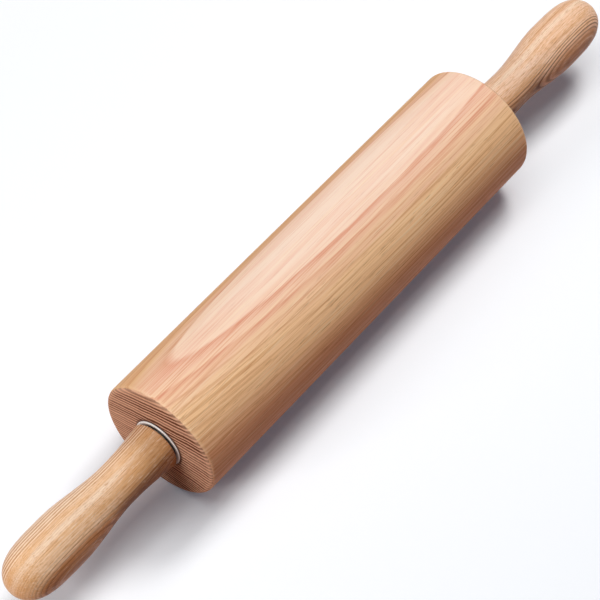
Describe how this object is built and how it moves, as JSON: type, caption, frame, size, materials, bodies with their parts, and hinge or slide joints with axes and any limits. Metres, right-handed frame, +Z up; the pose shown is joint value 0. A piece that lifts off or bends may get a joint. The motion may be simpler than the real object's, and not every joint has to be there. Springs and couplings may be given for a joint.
{
  "type": "rolling pin",
  "caption": "Wooden rolling pin: a cylindrical barrel that spins on ball races round a steel axle, between two fixed turned handles with a narrow neck and a round end.",
  "frame": {"origin": "on the surface that the pin lies on, under the middle of the barrel", "axes": "+X along the axle towards the right handle, +Z up from the surface, +Y across the pin"},
  "size_m": [0.4594, 0.066, 0.0659],
  "materials": {
    "barrel_wood": "satin, bare or lightly oiled hardwood",
    "handle_wood": "satin, lightly oiled hardwood",
    "nylon": "matt white nylon",
    "steel": "turned steel",
    "ball_steel": "polished bearing steel",
    "brass": "machined brass"
  },
  "bodies": {
    "axle_and_handles": {"axle_rod": "steel", "left_handle": "handle_wood", "right_handle": "handle_wood", "left_bearing_cone": "steel", "right_bearing_cone": "steel", "left_washer": "steel", "right_washer": "steel", "left_threaded_insert": "brass", "right_threaded_insert": "brass"},
    "roller": {"barrel": "barrel_wood", "left_bearing_cup": "nylon", "right_bearing_cup": "nylon"},
    "left_balls": {"left_ball_1": "ball_steel", "left_ball_2": "ball_steel", "left_ball_3": "ball_steel", "left_ball_4": "ball_steel", "left_ball_5": "ball_steel", "left_ball_6": "ball_steel", "left_ball_7": "ball_steel", "left_ball_8": "ball_steel", "left_ball_9": "ball_steel"},
    "right_balls": {"right_ball_1": "ball_steel", "right_ball_2": "ball_steel", "right_ball_3": "ball_steel", "right_ball_4": "ball_steel", "right_ball_5": "ball_steel", "right_ball_6": "ball_steel", "right_ball_7": "ball_steel", "right_ball_8": "ball_steel", "right_ball_9": "ball_steel"}
  },
  "joints": [
    {"name": "barrel_spin", "type": "hinge", "parent": "axle_and_handles", "child": "roller", "pos_m": [0, 0, 0.03296], "axis": [1, 0, 0], "continuous": true},
    {"name": "left_balls_orbit", "type": "hinge", "parent": "axle_and_handles", "child": "left_balls", "pos_m": [-0.12165, 0, 0.03296], "axis": [1, 0, 0], "continuous": true},
    {"name": "right_balls_orbit", "type": "hinge", "parent": "axle_and_handles", "child": "right_balls", "pos_m": [0.12165, 0, 0.03296], "axis": [1, 0, 0], "continuous": true}
  ],
  "couplings": [
    {"joint": "left_balls_orbit", "follows": "barrel_spin", "ratio": 0.6078},
    {"joint": "right_balls_orbit", "follows": "barrel_spin", "ratio": 0.6078}
  ]
}
